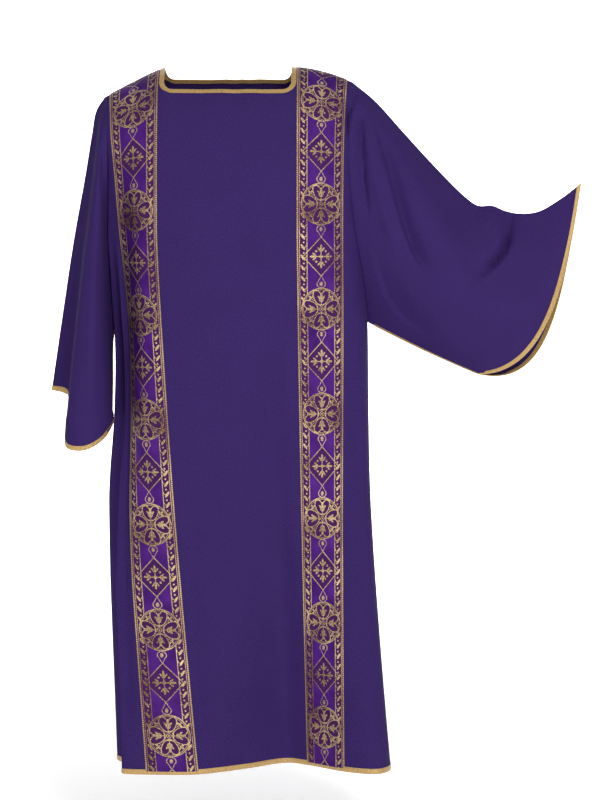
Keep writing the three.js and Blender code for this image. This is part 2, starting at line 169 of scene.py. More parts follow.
# Folds round the hem, a column for each ridge, trough or corner, in millimetres.
HEM_FOLDS_FROM = 0.300
HEM_FOLD_GROWTH = 1.3
HEM = {
    "front": {
        "across": [-445, -398, -325, -258, -214, -124, -30, 56, 124, 214, 276, 330, 445],
        "x": [-186, -200, -152, -184, -141, -49, 34, 102, 143, 209, 265, 290, 280],
        "y": [4, -45, -108, -160, -170, -168, -120, -70, -88, -145, -165, -125, 4],
    },
    "back": {
        "across": [-445, -385, -300, -214, -124, -30, 60, 124, 214, 290, 370, 445],
        "x": [-186, -164, -196, -138, -62, 6, 82, 140, 206, 262, 292, 280],
        "y": [4, 60, 128, 132, 168, 122, 166, 150, 112, 150, 78, 4],
    },
}

# Sleeves, in millimetres: lines run from the armhole to the cuff, edges from the cuff's top to the tack.
LEFT_SLEEVE = {
    "side": 1,
    "top": [(264, 0, -60), (315, 0, -116), (371, 0, -177), (426, 2, -232), (452, 3, -250), (478, 3, -250),
            (500, 2, -259), (525, 2, -264), (560, 0, -261), (601, 0, -238), (638, 0, -210)],
    "under": [(315, 0, -492), (371, 0, -519), (411, 0, -537), (453, 0, -555)],
    "belly": {"front": -0.026, "back": 0.030},
    "cuff": {
        "front": [(638, 0, -210), (603, -64, -415), (565, -24, -553), (453, 0, -555)],
        "back": [(638, 0, -210), (610, 68, -430), (585, 30, -585), (453, 0, -555)],
    },
    "bezier_cuff": True,
}
RIGHT_SLEEVE = {
    "side": -1,
    "top": [(-239, 0, -78), (-247, 0, -120), (-259, 0, -193), (-281, 0, -315), (-300, 2, -437),
            (-322, 5, -584)],
    "under": [(-210.5, -1, -500), (-211, -3, -570), (-212, -5, -632)],
    "belly": {"front": -0.020, "back": 0.016},
    "cuff": {
        "front": [(-322, 5, -584), (-293, -6, -590), (-290, -70, -648), (-284, -106, -680),
                  (-252, -118, -683), (-221, -104, -666), (-205, -66, -640), (-212, -5, -632)],
        "back": [(-322, 5, -584), (-319, 50, -588), (-302, 96, -598), (-266, 118, -626),
                 (-234, 96, -648), (-218, 46, -644), (-212, -5, -632)],
    },
    "bezier_cuff": False,
}
CUFF_SPACING = 0.52

# Soft creases, a row for each: which face, its path across the cloth (x, z), depth, width and lean, in
# millimetres. A trough has a positive depth and a ridge a negative one. A lean steepens the side to the
# right of the path (1) or to the left of it (-1), and a lean of 5 laps one side over the other.
CREASES = [
    ("front", [(262, -96), (280, -150), (300, -225), (318, -290), (336, -335), (362, -380)], 15.0, 10, 1),
    ("front", [(240, -70), (241, -131), (244, -200), (252, -270)], 11.0, 8, -1),
    ("front", [(250, -110), (262, -190), (284, -280), (300, -330)], -4.0, 9, 0),
    ("front", [(470, -249), (492, -255), (507, -272), (509, -300), (498, -330), (472, -360), (440, -386)],
     19.0, 8, -1),
    ("front", [(425, -236), (462, -262), (486, -288), (484, -318), (462, -350)], -7.0, 15, 0),
    ("front", [(556, -270), (560, -320), (546, -380), (515, -440)], 5.0, 18, 0),
    ("front", [(318, -140), (352, -230), (396, -320), (432, -430)], -5.0, 22, 0),
    ("front", [(262, -320), (286, -400), (322, -452), (372, -486)], 5.0, 14, 1),
    ("front", [(232, -40), (225, -62), (216, -88), (214, -128)], 10.0, 7, -1),
    ("front", [(205, -30), (215, -50), (226, -72)], -5.0, 9, 0),
    ("front", [(-256, -170), (-269, -300), (-282, -430), (-294, -600)], 20.0, 11, -5),
    ("front", [(-232, -300), (-236, -420), (-238, -540), (-240, -640)], -4.0, 12, 0),
    ("front", [(-226, -120), (-222, -230), (-216, -330), (-212, -430)], 9.0, 8, 1),
    ("front", [(-200, -120), (-194, -230), (-190, -400), (-188, -620), (-186, -800)], 17.0, 24, 0),
    ("front", [(-186, -640), (-182, -830), (-174, -1040), (-166, -1250)], 9.0, 10, -1),
    ("front", [(-34, -620), (-36, -850), (-30, -1080), (-22, -1250)], 7.0, 20, 0),
    ("front", [(60, -420), (84, -700), (100, -960), (106, -1250)], 6.0, 22, 0),
    ("front", [(-110, -300), (-90, -560), (-70, -800)], 3.0, 30, 0),
    ("front", [(225, -520), (232, -700), (240, -900), (244, -1100)], 6.0, 13, 0),
    ("front", [(30, -180), (44, -330), (50, -500)], 2.5, 36, 0),
    ("back", [(262, -100), (300, -210), (345, -310), (400, -400)], 11.0, 12, 1),
    ("back", [(450, -255), (492, -275), (508, -310), (492, -370), (450, -430)], 10.0, 13, -1),
    ("back", [(-160, -150), (-150, -400), (-130, -700), (-120, -1000)], 8.0, 22, 0),
    ("back", [(150, -170), (140, -420), (120, -760), (130, -1100)], 8.0, 22, 0),
    ("back", [(-10, -300), (0, -600), (8, -900), (6, -1250)], 6.0, 26, 0),
    ("back", [(60, -90), (20, -160), (-40, -170), (-90, -100)], 4.0, 22, 0),
    ("back", [(-255, -200), (-270, -380), (-285, -560)], 9.0, 11, 1),
]

# The body turns under beside the right galloon: place and size in metres, and a share of it inward.
TUCK = {"x": -0.200, "width": 0.034, "depth": 0.022, "inward": 0.5, "top": 0.12, "length": 0.80}


# ------------------------------------------------------------------ curves
def table_value(keys, values, at):
    """A smooth curve through a short table, level with its neighbours' slopes."""
    keys = np.asarray(keys, float) * MM
    values = np.asarray(values, float) * MM
    at = np.clip(at, keys[0], keys[-1])
    after = np.clip(np.searchsorted(keys, at), 1, len(keys) - 1)
    before = after - 1
    slopes = np.empty_like(values)
    slopes[1:-1] = (values[2:] - values[:-2]) / (keys[2:] - keys[:-2])
    slopes[0] = (values[1] - values[0]) / (keys[1] - keys[0])
    slopes[-1] = (values[-1] - values[-2]) / (keys[-1] - keys[-2])
    run = keys[after] - keys[before]
    part = (at - keys[before]) / run
    blend = part * part * (3 - 2 * part)
    leave = part * (1 - part) ** 2 * run * slopes[before]
    arrive = part * part * (1 - part) * run * slopes[after]
    return values[before] * (1 - blend) + values[after] * blend + leave - arrive


def smooth_line(points, at):
    """Centripetal Catmull-Rom through points, at values from 0 to 1 counted by point."""
    points = np.asarray(points, float)
    ends = np.vstack([2 * points[0] - points[1], points, 2 * points[-1] - points[-2]])
    count = len(points) - 1
    place = np.clip(np.asarray(at, float), 0, 1) * count
    start = np.minimum(place.astype(int), count - 1)
    part = (place - start)[:, None]
    p0, p1, p2, p3 = (ends[start + i] for i in range(4))
    gap = [np.maximum(np.linalg.norm(b - a, axis=1, keepdims=True), 1e-9) ** 0.5
           for a, b in ((p0, p1), (p1, p2), (p2, p3))]
    leave = ((p1 - p0) / gap[0] - (p2 - p0) / (gap[0] + gap[1]) + (p2 - p1) / gap[1]) * gap[1]
    arrive = ((p2 - p1) / gap[1] - (p3 - p1) / (gap[1] + gap[2]) + (p3 - p2) / gap[2]) * gap[1]
    a = 2 * p1 - 2 * p2 + leave + arrive
    b = -3 * p1 + 3 * p2 - 2 * leave - arrive
    return ((a * part + b) * part + leave) * part + p1


def even_line(points, at):
    """The same line, at values from 0 to 1 counted by length."""
    fine = np.linspace(0, 1, 800)
    path = smooth_line(points, fine)
    walked = np.concatenate([[0], np.cumsum(np.linalg.norm(np.diff(path, axis=0), axis=1))])
    return smooth_line(points, np.interp(np.asarray(at) * walked[-1], walked, fine))


def bezier(points, at):
    a, b, c, d = np.asarray(points, float)
    t = np.asarray(at)[:, None]
    return a * (1 - t) ** 3 + 3 * b * t * (1 - t) ** 2 + 3 * c * t * t * (1 - t) + d * t ** 3


# ------------------------------------------------------------------ the cut wrapped round the figure
def shoulder_height(x):
    out = np.maximum(0, np.abs(x) - NECK_HALF) / (SEAM_AT_SHOULDER - NECK_HALF)
    left = -SHOULDER[1]["fall"] * out ** SHOULDER[1]["curve"]
    right = -SHOULDER[-1]["fall"] * out ** SHOULDER[-1]["curve"]
    return np.where(x > 0, left, right)


def seam_across(drop):
    if drop < UNDERARM_DROP:
        down = (drop / UNDERARM_DROP) ** ARMHOLE_CURVE
        return SEAM_AT_SHOULDER + (SEAM_AT_UNDERARM - SEAM_AT_SHOULDER) * down
    down = (drop - UNDERARM_DROP) / (LENGTH - UNDERARM_DROP)
    return SEAM_AT_UNDERARM + (SEAM_AT_HEM - SEAM_AT_UNDERARM) * down


def quarter_girth(half_width, depth):
    """A quarter of the girth as a superellipse: its points and the length walked to each."""
    angle = np.linspace(0, np.pi / 2, 500)
    x = half_width * np.sin(angle) ** (2 / GIRTH_SQUARENESS)
    y = depth * np.maximum(np.cos(angle), 0) ** (2 / GIRTH_SQUARENESS)
    y[-1] = 0
    walked = np.concatenate([[0], np.cumsum(np.hypot(np.diff(x), np.diff(y)))])
    return x, y, walked


def body_row(face, across, drop):
    """Points of a panel at one drop below the shoulder line, for places across the cut."""
    across = np.asarray(across, float)
    out = np.abs(across)
    figure = FIGURE[face]
    depth = figure["depth"] * (1 - np.exp(-((drop / figure["reach"]) ** SHOULDER_ROUND)))
    side_line = max(seam_across(drop), SEAM_AT_UNDERARM)
    beyond = np.maximum(0, out - GALLOON_OUTER)
    x = np.empty_like(across)
    y = np.empty_like(across)
    for side, name in ((-1, "right"), (1, "left")):
        here = across < 0 if side < 0 else across >= 0
        reach = float(table_value(GIRTH["drop"], GIRTH[name], np.array(drop)))
        line_x, line_y, walked = quarter_girth(reach, depth)
        spread = (walked[-1] - GALLOON_OUTER) / (side_line - GALLOON_OUTER)
        length = np.minimum(out, GALLOON_OUTER) + beyond * (spread if drop > 0 else 1)
        x[here] = side * np.interp(length[here], walked, line_x)
        y[here] = np.interp(length[here], walked, line_y)
    y *= -1 if face == "front" else 1
    if drop > HEM_FOLDS_FROM:
        grown = ((drop - HEM_FOLDS_FROM) / (LENGTH - HEM_FOLDS_FROM)) ** HEM_FOLD_GROWTH
        hem_part = beyond / (seam_across(drop) - GALLOON_OUTER) * (SEAM_AT_HEM - GALLOON_OUTER)
        hem_across = np.sign(across) * (np.minimum(out, GALLOON_OUTER) + hem_part)
        hem = HEM[face]
        x += (table_value(hem["across"], hem["x"], hem_across) - x) * grown
        y += (table_value(hem["across"], hem["y"], hem_across) - y) * grown
    fade = max(0, 1 - drop / SHOULDER_FADE) ** 2
    return np.stack([x, y, shoulder_height(x) * fade - drop], axis=1)


# ------------------------------------------------------------------ grids of points
ROWS = np.unique(np.round(np.concatenate([
    np.arange(0, 60, 4), [20, 44, 53],
    np.linspace(64, 460, 68), np.linspace(466, 1250 - 9, 128), [1250 - 4.5, 1250],
]), 3)) * MM
ARMHOLE_ROWS = int(np.sum(ROWS <= UNDERARM_DROP + 1e-6))
NECK_COLUMNS = np.concatenate([np.linspace(0, 99, 18)[:-1], np.linspace(99, 115, 7)]) * MM
GALLOON_COLUMNS = np.linspace(124, 214, 17) * MM
SIDE_COLUMNS = 32
SLEEVE_STEPS = 96
BINDING_FACET = 0.0088


def panel_columns(drop):
    seam = seam_across(drop)
    side = np.linspace(GALLOON_OUTER, seam, SIDE_COLUMNS + 1)[1:]
    half = np.concatenate([NECK_COLUMNS, [0.1195], GALLOON_COLUMNS, side])
    return np.concatenate([-half[:0:-1], half])


MIDDLE = (len(panel_columns(0)) - 1) // 2
NECK_STEPS = len(NECK_COLUMNS) - 1


class Grid:
    """Mid-wall points of one cut piece, with a shared normal at each and its place in the cut."""

    def __init__(self, name, points, flat, turned, closed=False, solid=None):
        self.name = name
        self.points = points
        self.flat = flat
        self.turned = turned
        self.closed = closed
        rows, columns = points.shape[:2]
        self.solid = np.ones((rows - 1, columns - 1), bool) if solid is None else solid
        self.normals = np.zeros_like(points)


def make_panel(face):
    rows = [body_row(face, panel_columns(drop), drop) for drop in ROWS]
    points = np.array(rows)
    flat = np.array([[(a, -drop) for a in panel_columns(drop)] for drop in ROWS])
    neck_drop = NECK_DROP[face]
    neck_row = int(np.argmin(np.abs(ROWS - neck_drop)))
    corner_x = NECK_HALF - NECK_CORNER
    corner_drop = neck_drop - NECK_CORNER
    for r in range(neck_row + 1):
        for c in range(MIDDLE - NECK_STEPS, MIDDLE + NECK_STEPS + 1):
            out, drop = abs(flat[r, c, 0]), -flat[r, c, 1]
            if out <= corner_x or drop <= corner_drop:
                continue
            scale = NECK_CORNER / np.hypot(out - corner_x, drop - corner_drop)
            if scale < 1 or r == neck_row or c in (MIDDLE - NECK_STEPS, MIDDLE + NECK_STEPS):
                across = np.sign(flat[r, c, 0]) * (corner_x + (out - corner_x) * scale)
                drop = corner_drop + (drop - corner_drop) * scale
                points[r, c] = body_row(face, [across], drop)[0]
                flat[r, c] = (across, -drop)
    solid = np.ones((len(ROWS) - 1, points.shape[1] - 1), bool)
    solid[:neck_row, MIDDLE - NECK_STEPS:MIDDLE + NECK_STEPS] = False
    grid = Grid(face, points, flat, face == "back", solid=solid)
    grid.neck_row = neck_row
    return grid


def make_sleeve(sleeve, name, front, back):
    """A patch between the armhole, the cuff, the top line and the underside, in two layers."""
    column = -1 if sleeve["side"] > 0 else 0
    tip = front.points[0, column]
    underarm = front.points[ARMHOLE_ROWS - 1, column]
    steps = np.linspace(0, 1, SLEEVE_STEPS)
    top = even_line(np.vstack([tip, np.array(sleeve["top"]) * MM]), steps)
    under = even_line(np.vstack([underarm, np.array(sleeve["under"]) * MM]), steps)
    h = (ROWS[:ARMHOLE_ROWS] / UNDERARM_DROP) ** CUFF_SPACING
    h[0] = 0
    s = steps[:, None, None]
    h3 = h[None, :, None]
    layers = []
    for panel, face in ((front, "front"), (back, "back")):
        seam = panel.points[:ARMHOLE_ROWS, column][None]
        edge = np.array(sleeve["cuff"][face]) * MM
        cuff = (bezier(edge, h) if sleeve["bezier_cuff"] else smooth_line(edge, h))[None]
        patch = (1 - s) * seam + s * cuff + (1 - h3) * top[:, None] + h3 * under[:, None]
        patch -= (1 - s) * ((1 - h3) * seam[:, :1] + h3 * seam[:, -1:])
        patch -= s * ((1 - h3) * cuff[:, :1] + h3 * cuff[:, -1:])
        swell = np.sin(np.pi * h)[None] ** 0.75 * np.sin(np.pi * np.clip(steps, 0, 1))[:, None] ** 0.75
        patch[:, :, 1] += sleeve["belly"][face] * swell
        layers.append(patch)
    points = np.concatenate([layers[0][:, ::-1], layers[1][:, 1:]], axis=1)
    cuff_row, beside = points[-1].copy(), points[-2]
    inward = beside - cuff_row
    inward *= BINDING_FACET / np.linalg.norm(inward, axis=1, keepdims=True)
    points = np.concatenate([points[:-2], (cuff_row + inward)[None], (cuff_row + inward / 2)[None],
                             cuff_row[None]])
    round_cut = np.concatenate([-h[::-1], h[1:]]) * UNDERARM_DROP
    along = np.linspace(0, SLEEVE_CUT_LENGTH, len(points))
    flat = np.stack(np.meshgrid(round_cut, -along), axis=2)
    return Grid(name, points, flat, sleeve["side"] < 0, closed=True)


def face_normals(grid):
    p = grid.points
    across = p[1:, 1:] - p[:-1, :-1]
    down = p[1:, :-1] - p[:-1, 1:]
    normal = np.cross(down, across)
    length = np.linalg.norm(normal, axis=2, keepdims=True)
    normal = normal / np.maximum(length, 1e-12) * (-1 if grid.turned else 1)
    return normal * grid.solid[:, :, None]


def share_normals(grids):
    """One normal at each place, shared by the pieces that meet there."""
    sums = []
    for grid in grids:
        total = np.zeros_like(grid.points)
        normal = face_normals(grid)
        for r in (0, 1):
            for c in (0, 1):
                rows = slice(r, total.shape[0] - 1 + r)
                columns = slice(c, total.shape[1] - 1 + c)
                total[rows, columns] += normal
        sums.append(total.reshape(-1, 3))
    places = np.concatenate([np.round(grid.points.reshape(-1, 3) * 50000) for grid in grids])
    _, shared = np.unique(places.astype(np.int64), axis=0, return_inverse=True)
    shared = shared.reshape(-1)
    total = np.zeros((shared.max() + 1, 3))
    np.add.at(total, shared, np.concatenate(sums))
    total /= np.maximum(np.linalg.norm(total, axis=1, keepdims=True), 1e-12)
    start = 0
    for grid in grids:
        count = grid.points.shape[0] * grid.points.shape[1]
        grid.normals = total[shared[start:start + count]].reshape(grid.points.shape)
        start += count


def crease_depth(points, face, path, depth, width, lean):
    """How far one crease draws the cloth in at each point, from its path in the x-z plane."""
    route = smooth_line(np.array(path, float) * MM, np.linspace(0, 1, 40))
    flat = points[:, [0, 2]]
    nearest = np.full(len(flat), 1e9)
    along = np.zeros(len(flat))
    for i in range(len(route) - 1):
        a, b = route[i], route[i + 1]
        run = b - a
        part = np.clip((flat - a) @ run / (run @ run), 0, 1)
        reach = flat - a - part[:, None] * run
        away = np.linalg.norm(reach, axis=1)
        steep = (run[0] * reach[:, 1] - run[1] * reach[:, 0]) * lean < 0
        away = away * np.where(steep, 1 + 0.9 * abs(lean), 1 / (1 + 0.55 * abs(lean)))
        closer = away < nearest
        nearest = np.where(closer, away, nearest)
        along = np.where(closer, (i + part) / (len(route) - 1), along)
    ends = np.clip(np.sin(np.pi * np.clip(along, 0.02, 0.98)) * 1.6, 0, 1)
    towards = -points[:, 1] if face == "front" else points[:, 1]
    facing = np.clip((towards - 0.004) / 0.02, 0, 1)
    return depth * MM * np.exp(-(nearest / (width * MM)) ** 2) * ends * facing


def tuck(points):
    """How far the cloth is drawn in beside the right galloon, where the body turns under it."""
    x, y, z = points.T
    down = np.sin(np.pi * np.clip((-z - TUCK["top"]) / TUCK["length"], 0, 1))
    facing = np.clip((-y - 0.02) / 0.05, 0, 1)
    drawn = TUCK["depth"] * down * facing * np.exp(-((x - TUCK["x"]) / TUCK["width"]) ** 2)
    return np.stack([drawn * TUCK["inward"], drawn, np.zeros_like(x)], axis=1)


def ripple(points):
    """Slow unevenness of hanging cloth, a millimetre or so."""
    x, y, z = points.T
    round_body = np.arctan2(y, x - 0.02)
    slow = 0.9 * np.sin(9 * round_body + 2.0 * z + 0.7) * np.sin(3.1 * z + 1.3)
    quick = 0.45 * np.sin(23 * x + 17 * y + 3.0 * np.sin(4 * z)) * np.sin(7 * z + 2.0)
    return (slow + quick) * MM


front_panel = make_panel("front")
back_panel = make_panel("back")
left_sleeve = make_sleeve(LEFT_SLEEVE, "left", front_panel, back_panel)
right_sleeve = make_sleeve(RIGHT_SLEEVE, "right", front_panel, back_panel)
CUT_PIECES = [front_panel, back_panel, left_sleeve, right_sleeve]
share_normals(CUT_PIECES)
for grid in CUT_PIECES:
    points = grid.points.reshape(-1, 3)
    moved = ripple(points)
    for row in CREASES:
        moved = moved - crease_depth(points, *row)
    towards = grid.normals.reshape(-1, 3) * (0.12, 1.0, 0.6)
    share = np.linspace(1, 0, len(grid.points)) ** 3 if grid.closed else np.ones(len(grid.points))
    share = np.repeat(share, grid.points.shape[1])[:, None]
    moved_to = points + towards * moved[:, None] + tuck(points) * share
    grid.points = moved_to.reshape(grid.points.shape)
share_normals(CUT_PIECES)


# ------------------------------------------------------------------ walls from grids
def wall_piece(name, inside, outside, uv, solid=None, closed=False, turned=False):
    """A closed wall between an inside and an outside skin of quads, with its place in the cut as UV."""
    rows, columns = inside.shape[:2]
    solid = np.ones((rows - 1, columns - 1), bool) if solid is None else solid
    ids = np.arange(rows * columns).reshape(rows, columns)
    inner = ids + rows * columns
    quads = []

    def add(a, b, c, d, keep):
        quads.append(np.stack([a[keep], b[keep], c[keep], d[keep]], axis=1))

    def corners(skin):
        return skin[:-1, :-1], skin[1:, :-1], skin[1:, 1:], skin[:-1, 1:]

    a, b, c, d = corners(ids)
    e, f, g, h = corners(inner)
    add(a, b, c, d, solid)
    add(e, h, g, f, solid)
    around = np.pad(solid, 1)
    if closed:
        around[1:-1, 0] = solid[:, -1]
        around[1:-1, -1] = solid[:, 0]
    add(a, d, h, e, solid & ~around[:-2, 1:-1])
    add(c, b, f, g, solid & ~around[2:, 1:-1])
    add(b, a, e, f, solid & ~around[1:-1, :-2])
    add(d, c, g, h, solid & ~around[1:-1, 2:])
    faces = np.concatenate(quads)
    if turned:
        faces = faces[:, ::-1]
    places = np.concatenate([outside.reshape(-1, 3), inside.reshape(-1, 3)])
    wrapped = np.arange(2 * rows * columns)
    if closed:
        wrapped[ids[:, -1]] = ids[:, 0]
        wrapped[inner[:, -1]] = inner[:, 0]
    used, compact = np.unique(wrapped[faces], return_inverse=True)
    mesh = bpy.data.meshes.new(name)
    mesh.from_pydata(places[used].tolist(), [], compact.reshape(faces.shape).tolist())
    layer = mesh.uv_layers.new(name="cut")
    both = np.concatenate([uv.reshape(-1, 2), uv.reshape(-1, 2)])
    layer.data.foreach_set("uv", both[faces.reshape(-1)].reshape(-1))
    mesh.update()
    piece = bpy.data.objects.new(name, mesh)
    bpy.context.scene.collection.objects.link(piece)
    bpy.ops.object.select_all(action="DESELECT")
    piece.select_set(True)
    bpy.context.view_layer.objects.active = piece
    bpy.ops.object.shade_smooth_by_angle(angle=np.radians(SMOOTH_UP_TO_DEGREES))
    piece.select_set(False)
    return piece


def ease(skin, edges):
    """Draws the seam edges back a little, so that pieces don't touch at seams."""
    skin = skin.copy()

    def pull(edge, beside):
        inward = beside - edge
        return edge + inward * (SEAM_EASE / np.linalg.norm(inward, axis=-1, keepdims=True))

    if "sides" in edges:
        skin[:, 0] = pull(skin[:, 0], skin[:, 1])
        skin[:, -1] = pull(skin[:, -1], skin[:, -2])
    if "top" in edges:
        skin[0] = pull(skin[0], skin[1])
    return skin


def cloth_piece(name, grid, edges):
    inside = ease(grid.points - grid.normals * CLOTH_WALL / 2, edges)
    outside = ease(grid.points + grid.normals * CLOTH_WALL / 2, edges)
    return wall_piece(name, inside, outside, grid.flat, grid.solid, grid.closed, grid.turned)


# ------------------------------------------------------------------ galloons
GALLOON_REPEAT = 0.186
GALLOON_START = {1: 0.092, -1: 0.088}
HALF_GALLOON = 0.045


def galloon_piece(name, grid, side):
    first = MIDDLE + side * (len(NECK_COLUMNS) + 1)
    last = first + side * (len(GALLOON_COLUMNS) - 1)
    low, high = sorted((first, last))
    rows = len(ROWS) - 1
    points = grid.points[:rows, low:high + 1]
    normals = grid.normals[:rows, low:high + 1]
    centre = points[:, points.shape[1] // 2]
    walked = np.concatenate([[0], np.cumsum(np.linalg.norm(np.diff(centre, axis=0), axis=1))])
    along = walked if grid.name == "front" else -walked
    across = np.linspace(-HALF_GALLOON, HALF_GALLOON, points.shape[1])
    uv = np.stack(np.meshgrid(across, GALLOON_START[side] - along), axis=2)
    under = CLOTH_WALL / 2 + LAID_GAP
    inside = ease(points + normals * under, ["top"])
    outside = ease(points + normals * (under + GALLOON_WALL), ["top"])
    return wall_piece(name, inside, outside, uv, turned=grid.turned)


# ------------------------------------------------------------------ bindings
BINDING_SWELL = 0.35 * MM
BINDING_WALL = 0.45 * MM
UNDERARM_WALL = 0.7 * MM


def binding_rows(edge, beside, edge_normal, beside_normal, lift):
    """Rows of one skin of a folded binding: over the outside, round the edge and up the inside."""
    reach = np.linalg.norm(beside - edge, axis=1, keepdims=True)
    inward = (beside - edge) / reach
    rows = []
    thick = CLOTH_WALL / 2 + LAID_GAP + lift
    for depth in (BINDING_WIDTH, BINDING_WIDTH * 0.75, BINDING_WIDTH * 0.45, BINDING_WIDTH * 0.15):
        part = depth / reach
        normal = edge_normal * (1 - part) + beside_normal * part
        normal = normal / np.linalg.norm(normal, axis=1, keepdims=True)
        swell = thick + (BINDING_SWELL * np.sin(np.pi * depth / BINDING_WIDTH) if lift else 0)
        rows.append((edge + inward * depth + normal * swell, normal))
    outer = [place for place, _ in rows]
    bend = []
    for step in range(1, 6):
        angle = np.pi * step / 6
        bend.append(edge + edge_normal * (np.cos(angle) * thick) - inward * (np.sin(angle) * thick))
    inner = [place - 2 * normal * thick for place, normal in rows][::-1]
    return np.array(outer + bend + inner)


def binding_piece(name, edge, beside, edge_normal, beside_normal, closed):
    inside = binding_rows(edge, beside, edge_normal, beside_normal, 0.0)
    outside = binding_rows(edge, beside, edge_normal, beside_normal, BINDING_WALL)
    walked = np.concatenate([[0], np.cumsum(np.linalg.norm(np.diff(edge, axis=0), axis=1))])
    if closed:
        walked = np.append(walked, walked[-1] + np.linalg.norm(edge[0] - edge[-1]))
        inside = np.concatenate([inside, inside[:, :1]], axis=1)
        outside = np.concatenate([outside, outside[:, :1]], axis=1)
    round_edge = np.linspace(0, 1, inside.shape[0])
    uv = np.stack(np.meshgrid(walked, round_edge), axis=2)
    piece = wall_piece(name, inside, outside, uv, closed=closed)
    outward(piece)
    return piece


def outward(piece):
    """Turns the faces of a closed piece outwards, if they point in."""
    mesh = piece.data
    corners = np.empty(len(mesh.vertices) * 3)
    mesh.vertices.foreach_get("co", corners)
    corners = corners.reshape(-1, 3)
    mesh.calc_loop_triangles()
    triangles = np.empty(len(mesh.loop_triangles) * 3, int)
    mesh.loop_triangles.foreach_get("vertices", triangles)
    a, b, c = (corners[triangles.reshape(-1, 3)[:, i]] for i in range(3))
    if np.sum(np.cross(a, b) * c) < 0:
        mesh.flip_normals()


def values_at(field, spots):
    return np.array([field[r, c] for r, c in spots])


def edge_of(grid, places, besides):
    return (values_at(grid.points, places), values_at(grid.points, besides),
            values_at(grid.normals, places), values_at(grid.normals, besides))


def neck_edge(grid):
    low, high, row = MIDDLE - NECK_STEPS, MIDDLE + NECK_STEPS, grid.neck_row
    beside_row = int(np.argmin(np.abs(ROWS - (ROWS[row] + BINDING_FACET))))
    places = [(r, low) for r in range(row)] + [(row, c) for c in range(low, high + 1)]
    places += [(r, high) for r in range(row - 1, -1, -1)]
    besides = [(r, low - 2) for r in range(row)] + [(beside_row, c) for c in range(low, high + 1)]
    besides += [(r, high + 2) for r in range(row - 1, -1, -1)]
    besides[row] = (beside_row, low - 2)
    besides[row + high - low] = (beside_row, high + 2)
    return edge_of(grid, places, besides)


def hem_edge(grid):
    last = len(ROWS) - 1
    columns = range(grid.points.shape[1])
    return edge_of(grid, [(last, c) for c in columns], [(last - 2, c) for c in columns])


def cuff_edge(grid):
    last = grid.points.shape[0] - 1
    columns = range(1, grid.points.shape[1] - 1)
    return edge_of(grid, [(last, c) for c in columns], [(last - 2, c) for c in columns])


def both_faces(edge_finder):
    front = edge_finder(front_panel)
    back = edge_finder(back_panel)
    return [np.concatenate([f, b[::-1][1:-1]]) for f, b in zip(front, back)]


def underarm_piece(name, grid):
    """A narrow strip folded over the sewn underside of a sleeve."""
    rows = slice(6, grid.points.shape[0] - 2)
    middle, middle_normal = grid.points[rows, 0], grid.normals[rows, 0]
    strips = []
    for column in (1, grid.points.shape[1] - 2):
        beside, normal = grid.points[rows, column], grid.normals[rows, column]
        away = beside - middle
        away *= 0.5 * BINDING_WIDTH / np.linalg.norm(away, axis=1, keepdims=True)
        strips.append((middle + away, normal))
    skins = []
    for lift in (CLOTH_WALL / 2 + LAID_GAP, CLOTH_WALL / 2 + LAID_GAP + UNDERARM_WALL):
        skins.append(np.array([strips[0][0] + strips[0][1] * lift, middle + middle_normal * lift,
                               strips[1][0] + strips[1][1] * lift]))
    walked = np.concatenate([[0], np.cumsum(np.linalg.norm(np.diff(middle, axis=0), axis=1))])
    uv = np.stack(np.meshgrid(walked, np.linspace(0, 1, 3)), axis=2)
    piece = wall_piece(name, skins[0], skins[1], uv)
    outward(piece)
    return piece


# ------------------------------------------------------------------ materials
class Wire:
    """A number in a node tree, so that sums on it can be written as sums."""

    def __init__(self, tree, socket):
        self.tree = tree
        self.socket = socket

    def math(self, operation, *others, clamp=False):
        node = self.tree.nodes.new("ShaderNodeMath")
        node.operation = operation
        node.use_clamp = clamp
        for slot, value in zip(node.inputs, (self, *others)):
            feed(self.tree, value, slot)
        return Wire(self.tree, node.outputs[0])

    def __add__(self, other):
        return self.math("ADD", other)

    def __sub__(self, other):
        return self.math("SUBTRACT", other)

    def __mul__(self, other):
        return self.math("MULTIPLY", other)

    def __truediv__(self, other):
        return self.math("DIVIDE", other)

    def size(self):
        return self.math("ABSOLUTE")

    def below(self, edge, soft=0.25):
        """1 where the number is less than edge, 0 where it's more."""
        return self.math("MULTIPLY_ADD", -1 / soft, edge / soft + 0.5, clamp=True)

    def near(self, middle, half, soft=0.25):
        return (self - middle).size().below(half, soft)

    def repeat(self, period):
        """The number counted from the middle of each repeat."""
        return ((self * (1 / period) + 0.5).math("FRACT") - 0.5) * period


def feed(tree, value, slot):
    if isinstance(value, Wire):
        tree.links.new(value.socket, slot)
    else:
        slot.default_value = value


def most(*wires):
    found = wires[0]
    for wire in wires[1:]:
        found = found.math("MAXIMUM", wire)
    return found


def least(*wires):
    found = wires[0]
    for wire in wires[1:]:
        found = found.math("MINIMUM", wire)
    return found


def distance(x, y):
    return (x * x + y * y).math("SQRT")


def oval(x, y, centre, half, turn=0.0):
    """1 on the rim of an oval, less inside it."""
    c, s = float(np.cos(np.radians(turn))), float(np.sin(np.radians(turn)))
    dx, dy = x - centre[0], y - centre[1]
    along = (dx * c + dy * s) * (1 / half[0])
    across = (dy * c - dx * s) * (1 / half[1])
    return distance(along, across)


